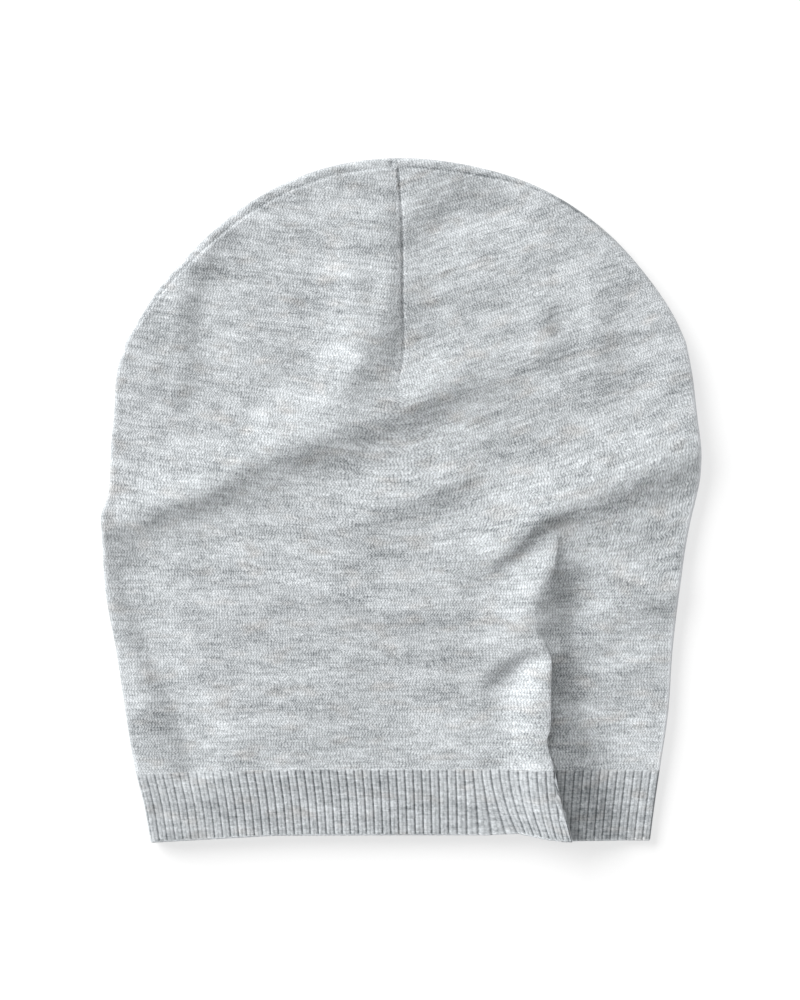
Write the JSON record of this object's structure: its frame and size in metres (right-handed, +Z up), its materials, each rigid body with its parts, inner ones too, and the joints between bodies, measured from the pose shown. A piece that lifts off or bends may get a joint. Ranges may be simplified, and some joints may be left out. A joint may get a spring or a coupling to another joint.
{
  "type": "beanie",
  "caption": "Knit beanie lying flat, with a jersey crown closed by a curved top seam and darts, soft folds in its front and a ribbed hem round the open mouth.",
  "frame": {"origin": "middle of the footprint, on the surface that the back layer lies on", "axes": "+X to the viewer's right across the front, +Y from the mouth to the top of the crown, +Z up out of the front layer"},
  "size_m": [0.2546, 0.2902, 0.0183],
  "materials": {
    "jersey_knit": "matt fine-gauge heather light grey jersey, darker and lighter fibres streaked along the rows",
    "rib_knit": "matt heather grey rib knit, two by one, darker in its narrow grooves",
    "seam_knit": "matt heather grey jersey, overlocked edge of the seams inside"
  },
  "bodies": {
    "root": {"crown": "jersey_knit", "rib_band": "rib_knit", "dome_seam": "seam_knit", "front_dart_seam": "seam_knit", "back_dart_seam": "seam_knit"}
  },
  "joints": []
}
